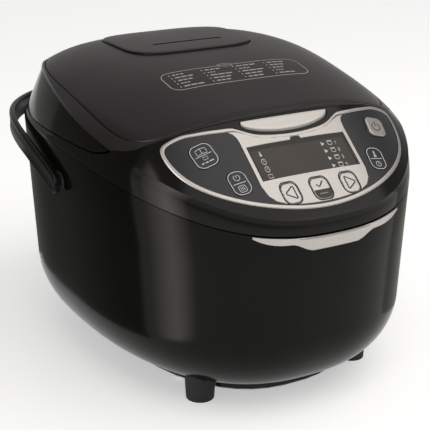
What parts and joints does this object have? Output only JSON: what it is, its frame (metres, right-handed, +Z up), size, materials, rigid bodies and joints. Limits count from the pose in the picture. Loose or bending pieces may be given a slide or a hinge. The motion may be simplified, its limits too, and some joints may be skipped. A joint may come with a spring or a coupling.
{
  "type": "electric multicooker",
  "caption": "Countertop electric multicooker with a hinged steam lid, sloping button panel with display, removable vent cap, folding carry handle and inner pot.",
  "frame": {"origin": "centre of the footprint of the whole object, carry handle included, on the surface it stands on", "axes": "+X to the right of someone facing the control panel, +Y from the panel at the front to the hinge at the back, +Z up"},
  "size_m": [0.31, 0.4015, 0.2581],
  "materials": {
    "body_black": "deep black satin-gloss lacquer",
    "gloss_black": "gloss black",
    "lid_brown": "satin dark brown-grey with a fine metallic fleck",
    "black_plastic": "satin moulded black",
    "grey_plastic": "moulded dark grey",
    "silver": "warm satin silver",
    "lcd_glass": "tinted display window",
    "steel": "plain steel",
    "aluminium": "cast or spun aluminium",
    "nonstick": "dark grey non-stick coating",
    "silicone": "translucent grey silicone",
    "rubber": "matt black rubber",
    "circuit_green": "circuit board"
  },
  "bodies": {
    "base": {"outer_body": "body_black", "collar": "gloss_black", "control_fascia": "gloss_black", "panel_rim": "silver", "centre_plate": "silver", "front_trim": "silver", "lcd_window": "lcd_glass", "base_plate": "black_plastic", "hinge_bracket": "black_plastic", "release_guide": "black_plastic", "power_inlet": "black_plastic", "drip_cup_rail": "black_plastic", "handle_bush_left": "grey_plastic", "handle_bush_right": "grey_plastic", "latch_bracket": "grey_plastic", "hinge_pin": "steel", "hinge_spring": "steel", "sensor_spring": "steel", "release_spring": "steel", "latch_pin": "steel", "heat_shield": "steel", "inlet_pin_left": "steel", "inlet_pin_right": "steel", "inlet_pin_earth": "steel", "base_screw_1": "steel", "base_screw_2": "steel", "base_screw_3": "steel", "base_screw_4": "steel", "heater_plate": "aluminium", "inner_pot": "nonstick", "foot_front_left": "rubber", "foot_front_right": "rubber", "foot_rear_left": "rubber", "foot_rear_right": "rubber", "power_board": "circuit_green", "control_board": "circuit_green", "lcd_module": "circuit_green"},
    "lid": {"lid_cover": "lid_brown", "lid_top_panel": "lid_brown", "lid_side_band": "gloss_black", "lid_frame": "black_plastic", "lid_catch": "black_plastic", "inner_lid": "aluminium", "lid_gasket": "silicone", "steam_cup": "grey_plastic"},
    "vent_cap": {"steam_vent_cap": "lid_brown"},
    "handle": {"carry_handle": "black_plastic"},
    "release": {"release_button": "silver"},
    "latch": {"latch_hook": "grey_plastic"},
    "sensor": {"temperature_sensor": "aluminium"},
    "drip_cup": {"drip_cup": "black_plastic"},
    "recipes_button": {"recipes_button": "gloss_black"},
    "timer_button": {"timer_button": "gloss_black"},
    "left_button": {"left_button": "silver"},
    "ok_button": {"ok_button": "silver"},
    "right_button": {"right_button": "silver"},
    "temperature_button": {"temperature_button": "gloss_black"},
    "power_button": {"power_button": "silver"}
  },
  "joints": [
    {"name": "lid_hinge", "type": "hinge", "parent": "base", "child": "lid", "pos_m": [0, 0.1886, 0.199], "axis": [-1, 0, 0], "range_deg": [0, 85]},
    {"name": "vent_cap_lift", "type": "slide", "parent": "lid", "child": "vent_cap", "axis": [0, 0, 1], "range_m": [0, 0.025]},
    {"name": "handle_fold", "type": "hinge", "parent": "base", "child": "handle", "pos_m": [0, -0.0106, 0.1645], "axis": [1, 0, 0], "range_deg": [0, 90]},
    {"name": "release_press", "type": "slide", "parent": "base", "child": "release", "axis": [0, 0, -1], "range_m": [0, 0.0025], "stiffness_N_per_m": 800, "deforming": ["release_spring"]},
    {"name": "latch_pivot", "type": "hinge", "parent": "base", "child": "latch", "pos_m": [0, -0.1181, 0.178], "axis": [1, 0, 0], "range_deg": [0, 12.1]},
    {"name": "sensor_press", "type": "slide", "parent": "base", "child": "sensor", "axis": [0, 0, -1], "range_m": [0, 0.003], "stiffness_N_per_m": 600, "deforming": ["sensor_spring"]},
    {"name": "drip_cup_pull", "type": "slide", "parent": "base", "child": "drip_cup", "axis": [0, 1, 0], "range_m": [0, 0.03]},
    {"name": "recipes_press", "type": "slide", "parent": "base", "child": "recipes_button", "axis": [0.2095, 0.6095, -0.7646], "range_m": [0, 0.0008], "stiffness_N_per_m": 500},
    {"name": "timer_press", "type": "slide", "parent": "base", "child": "timer_button", "axis": [0.1146, 0.6253, -0.7719], "range_m": [0, 0.0008], "stiffness_N_per_m": 500},
    {"name": "left_press", "type": "slide", "parent": "base", "child": "left_button", "axis": [0.0137, 0.628, -0.7781], "range_m": [0, 0.0008], "stiffness_N_per_m": 500},
    {"name": "ok_press", "type": "slide", "parent": "base", "child": "ok_button", "axis": [0, 0.6275, -0.7786], "range_m": [0, 0.0008], "stiffness_N_per_m": 500},
    {"name": "right_press", "type": "slide", "parent": "base", "child": "right_button", "axis": [-0.0137, 0.628, -0.7781], "range_m": [0, 0.0008], "stiffness_N_per_m": 500},
    {"name": "temperature_press", "type": "slide", "parent": "base", "child": "temperature_button", "axis": [-0.1146, 0.6253, -0.7719], "range_m": [0, 0.0008], "stiffness_N_per_m": 500},
    {"name": "power_press", "type": "slide", "parent": "base", "child": "power_button", "axis": [-0.2095, 0.6095, -0.7646], "range_m": [0, 0.0008], "stiffness_N_per_m": 500}
  ],
  "couplings": [
    {"joint": "latch_pivot", "follows": "release_press", "rad_per_m": 84}
  ]
}
